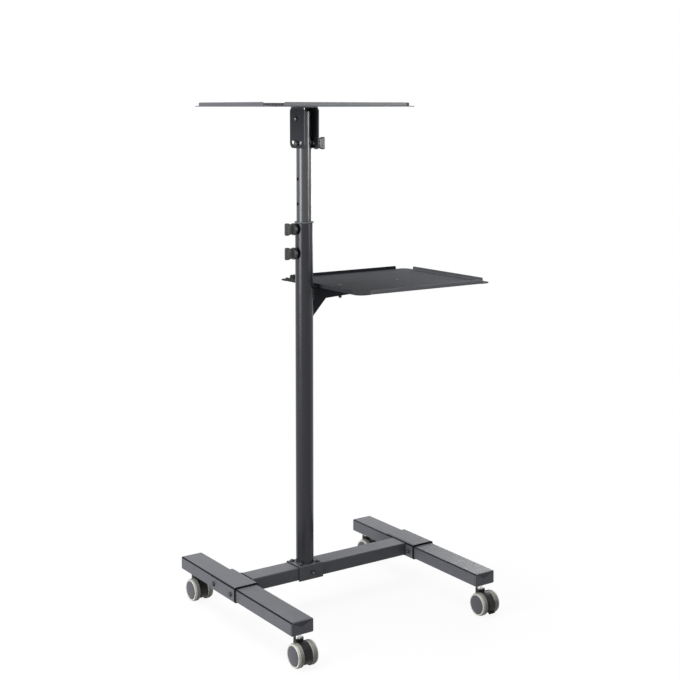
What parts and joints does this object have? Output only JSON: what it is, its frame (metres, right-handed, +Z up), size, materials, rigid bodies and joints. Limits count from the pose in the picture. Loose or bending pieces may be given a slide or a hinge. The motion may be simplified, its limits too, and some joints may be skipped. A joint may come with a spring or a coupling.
{
  "type": "audio visual cart",
  "caption": "Mobile stand with a telescopic column, a tilting upper tray and a fixed side tray on an H-shaped base with twin-wheel casters.",
  "frame": {"origin": "middle of the whole cart's footprint, on the floor", "axes": "+Z up the column; +X along the cross beam, from the left leg and the lock knobs towards the side the lower tray stands on; +Y along the legs, from the end with the longer overhang to the back"},
  "size_m": [0.7246, 0.5776, 1.3118],
  "materials": {
    "powder_coat": "fine-textured slate grey powder coat",
    "cap_plastic": "smooth charcoal moulding",
    "black_plastic": "fine-grained black moulding",
    "zinc": "bright zinc-plated steel",
    "black_bolt": "black oxide",
    "tyre_grey": "light grey non-marking tread"
  },
  "bodies": {
    "base": {"left_leg": "powder_coat", "left_front_leg_cap": "cap_plastic", "left_back_leg_cap": "cap_plastic", "left_sleeve": "powder_coat", "left_sleeve_front_bolt": "black_bolt", "left_sleeve_back_bolt": "black_bolt", "left_front_caster_stem": "zinc", "left_back_caster_stem": "zinc", "right_leg": "powder_coat", "right_front_leg_cap": "cap_plastic", "right_back_leg_cap": "cap_plastic", "right_sleeve": "powder_coat", "right_sleeve_front_bolt": "black_bolt", "right_sleeve_back_bolt": "black_bolt", "right_front_caster_stem": "zinc", "right_back_caster_stem": "zinc", "cross_beam": "powder_coat", "foot_saddle": "powder_coat", "foot_left_bolt_pair": "black_bolt", "foot_right_bolt_pair": "black_bolt", "foot_side_bolt": "black_bolt", "outer_column": "powder_coat", "collar_bush": "black_plastic", "tray_arm": "powder_coat", "lower_tray": "powder_coat", "lower_tray_first_bolt": "black_bolt", "lower_tray_second_bolt": "black_bolt", "tray_stop": "black_plastic"},
    "left_front_caster": {"left_front_caster_hood": "black_plastic"},
    "left_front_left_wheel": {"left_front_caster_left_wheel": "tyre_grey", "left_front_caster_left_hub_cap": "cap_plastic"},
    "left_front_right_wheel": {"left_front_caster_right_wheel": "tyre_grey", "left_front_caster_right_hub_cap": "cap_plastic"},
    "left_back_caster": {"left_back_caster_hood": "black_plastic"},
    "left_back_left_wheel": {"left_back_caster_left_wheel": "tyre_grey", "left_back_caster_left_hub_cap": "cap_plastic"},
    "left_back_right_wheel": {"left_back_caster_right_wheel": "tyre_grey", "left_back_caster_right_hub_cap": "cap_plastic"},
    "right_front_caster": {"right_front_caster_hood": "black_plastic"},
    "right_front_left_wheel": {"right_front_caster_left_wheel": "tyre_grey", "right_front_caster_left_hub_cap": "cap_plastic"},
    "right_front_right_wheel": {"right_front_caster_right_wheel": "tyre_grey", "right_front_caster_right_hub_cap": "cap_plastic"},
    "right_front_pedal": {"right_front_brake_pedal": "black_plastic"},
    "right_back_caster": {"right_back_caster_hood": "black_plastic"},
    "right_back_left_wheel": {"right_back_caster_left_wheel": "tyre_grey", "right_back_caster_left_hub_cap": "cap_plastic"},
    "right_back_right_wheel": {"right_back_caster_right_wheel": "tyre_grey", "right_back_caster_right_hub_cap": "cap_plastic"},
    "right_back_pedal": {"right_back_brake_pedal": "black_plastic"},
    "mast": {"mast_tube": "powder_coat", "pivot_bolt": "black_bolt", "clamp_bolt": "black_bolt"},
    "tray_head": {"tilt_bracket": "powder_coat", "upper_tray": "powder_coat", "upper_tray_front_screw": "black_bolt", "upper_tray_back_screw": "black_bolt"},
    "upper_lock_knob": {"upper_lock_knob": "black_plastic"},
    "lower_lock_knob": {"lower_lock_knob": "black_plastic"},
    "clamp_knob": {"clamp_knob": "black_plastic"}
  },
  "joints": [
    {"name": "left_front_caster_swivel", "type": "hinge", "parent": "base", "child": "left_front_caster", "pos_m": [-0.3227, -0.23995, 0.06275], "axis": [0, 0, 1], "continuous": true},
    {"name": "left_front_left_wheel_spin", "type": "hinge", "parent": "left_front_caster", "child": "left_front_left_wheel", "pos_m": [-0.3419, -0.25775, 0.02905], "axis": [1, 0, 0], "continuous": true},
    {"name": "left_front_right_wheel_spin", "type": "hinge", "parent": "left_front_caster", "child": "left_front_right_wheel", "pos_m": [-0.3035, -0.25775, 0.02905], "axis": [1, 0, 0], "continuous": true},
    {"name": "left_back_caster_swivel", "type": "hinge", "parent": "base", "child": "left_back_caster", "pos_m": [-0.3227, 0.26455, 0.06275], "axis": [0, 0, 1], "continuous": true},
    {"name": "left_back_left_wheel_spin", "type": "hinge", "parent": "left_back_caster", "child": "left_back_left_wheel", "pos_m": [-0.3419, 0.24675, 0.02905], "axis": [1, 0, 0], "continuous": true},
    {"name": "left_back_right_wheel_spin", "type": "hinge", "parent": "left_back_caster", "child": "left_back_right_wheel", "pos_m": [-0.3035, 0.24675, 0.02905], "axis": [1, 0, 0], "continuous": true},
    {"name": "right_front_caster_swivel", "type": "hinge", "parent": "base", "child": "right_front_caster", "pos_m": [0.2343, -0.23995, 0.06275], "axis": [0, 0, 1], "continuous": true},
    {"name": "right_front_left_wheel_spin", "type": "hinge", "parent": "right_front_caster", "child": "right_front_left_wheel", "pos_m": [0.2151, -0.25775, 0.02905], "axis": [1, 0, 0], "continuous": true},
    {"name": "right_front_right_wheel_spin", "type": "hinge", "parent": "right_front_caster", "child": "right_front_right_wheel", "pos_m": [0.2535, -0.25775, 0.02905], "axis": [1, 0, 0], "continuous": true},
    {"name": "right_front_brake", "type": "hinge", "parent": "right_front_caster", "child": "right_front_pedal", "pos_m": [0.2343, -0.28086, 0.03983], "axis": [-1, 0, 0], "range_deg": [-2, 14]},
    {"name": "right_back_caster_swivel", "type": "hinge", "parent": "base", "child": "right_back_caster", "pos_m": [0.2343, 0.26455, 0.06275], "axis": [0, 0, 1], "continuous": true},
    {"name": "right_back_left_wheel_spin", "type": "hinge", "parent": "right_back_caster", "child": "right_back_left_wheel", "pos_m": [0.2151, 0.24675, 0.02905], "axis": [1, 0, 0], "continuous": true},
    {"name": "right_back_right_wheel_spin", "type": "hinge", "parent": "right_back_caster", "child": "right_back_right_wheel", "pos_m": [0.2535, 0.24675, 0.02905], "axis": [1, 0, 0], "continuous": true},
    {"name": "right_back_brake", "type": "hinge", "parent": "right_back_caster", "child": "right_back_pedal", "pos_m": [0.2343, 0.22364, 0.03983], "axis": [-1, 0, 0], "range_deg": [-2, 14]},
    {"name": "mast_slide", "type": "slide", "parent": "base", "child": "mast", "axis": [0, 0, 1], "range_m": [-0.128, 0.064]},
    {"name": "tray_tilt", "type": "hinge", "parent": "mast", "child": "tray_head", "pos_m": [-0.1097, 0.06155, 1.2698], "axis": [1, 0, 0], "range_deg": [-15, 15]},
    {"name": "upper_lock_knob_turn", "type": "hinge", "parent": "base", "child": "upper_lock_knob", "pos_m": [-0.1497, 0.06155, 0.9898], "axis": [-1, 0, 0], "continuous": true},
    {"name": "lower_lock_knob_turn", "type": "hinge", "parent": "base", "child": "lower_lock_knob", "pos_m": [-0.1497, 0.06155, 0.9273], "axis": [-1, 0, 0], "continuous": true},
    {"name": "clamp_knob_turn", "type": "hinge", "parent": "mast", "child": "clamp_knob", "pos_m": [-0.0647, 0.06155, 1.2078], "axis": [1, 0, 0], "continuous": true}
  ]
}
